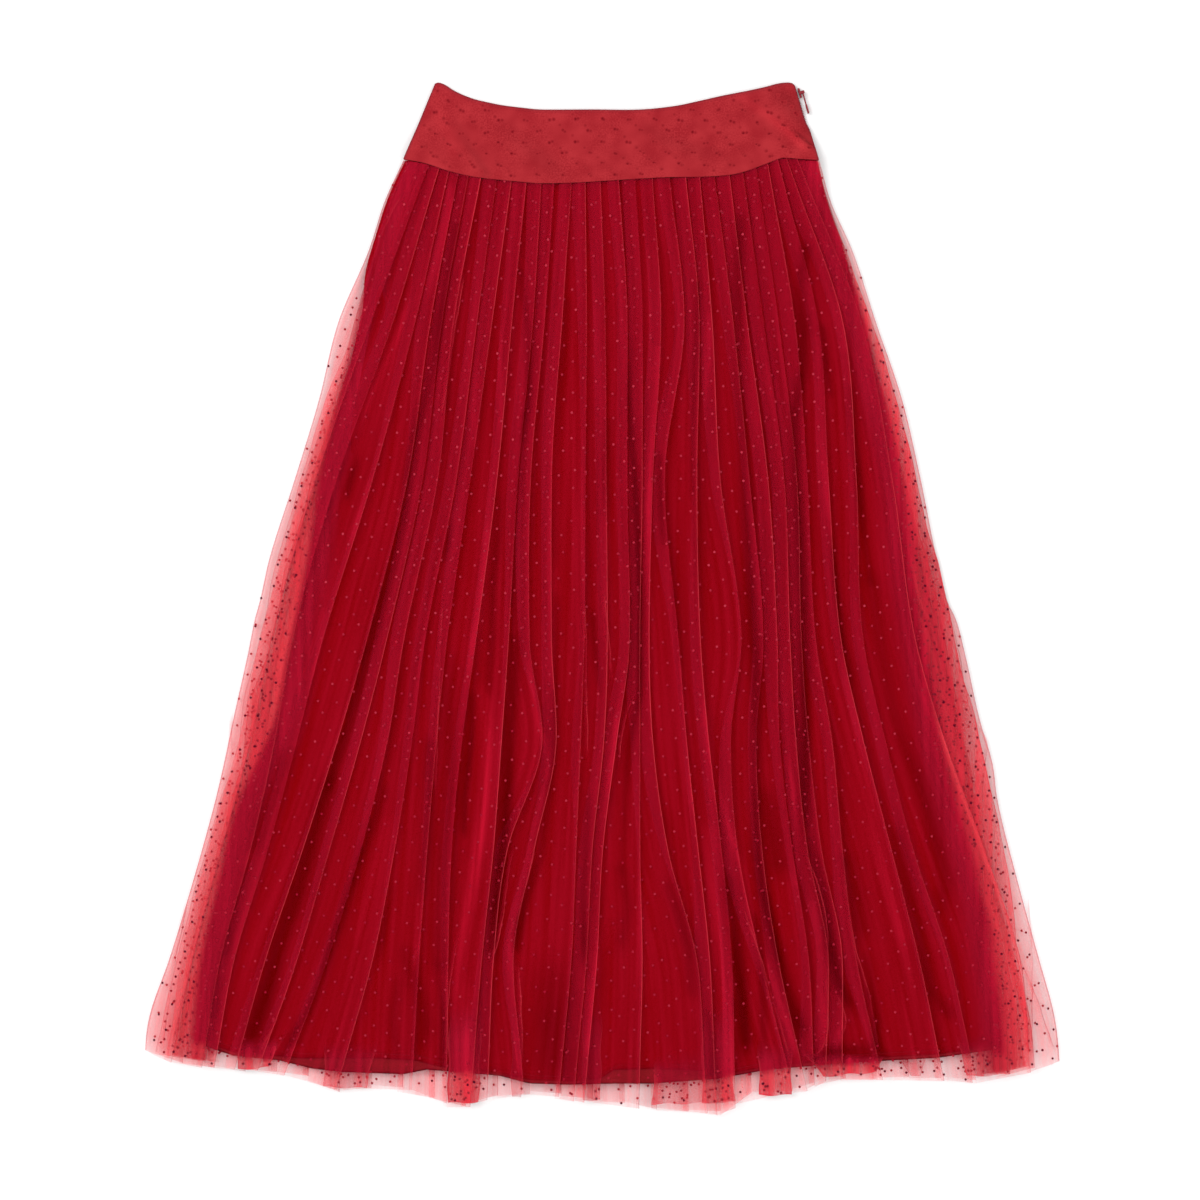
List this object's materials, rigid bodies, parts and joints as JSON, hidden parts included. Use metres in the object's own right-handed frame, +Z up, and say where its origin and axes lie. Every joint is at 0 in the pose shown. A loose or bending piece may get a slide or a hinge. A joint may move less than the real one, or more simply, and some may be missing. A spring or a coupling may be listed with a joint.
{
  "type": "pleated midi skirt",
  "caption": "Midi skirt of dotted, knife-pleated tulle over an opaque lining, with a shaped hip yoke and a concealed side zip, laid flat with its front up.",
  "frame": {"origin": "on the surface that the skirt lies on, under the middle of its outline's box", "axes": "+Y towards the waist, +X to the right as seen from above with the front up, +Z up from the surface"},
  "size_m": [0.7892, 0.889, 0.0141],
  "materials": {
    "yoke": "fine dotted net over a firm matte backing",
    "tulle": "see-through net with small flocked dots",
    "lining": "smooth, matte, dark red",
    "zip_tape": "woven tape and coil in the skirt's red",
    "zip_metal": "lacquered in the skirt's red"
  },
  "bodies": {
    "skirt": {"front_yoke": "yoke", "back_yoke": "yoke", "front_overlay": "tulle", "back_overlay": "tulle", "front_lining": "lining", "back_lining": "lining", "zip_chain": "zip_tape", "zip_slider": "zip_metal"},
    "pull": {"zip_pull": "zip_metal"}
  },
  "joints": [
    {"name": "pull_hinge", "type": "hinge", "parent": "skirt", "child": "pull", "pos_m": [0.17277, 0.43612, 0.0024], "axis": [0, 0, 1], "range_deg": [0, 150]}
  ]
}
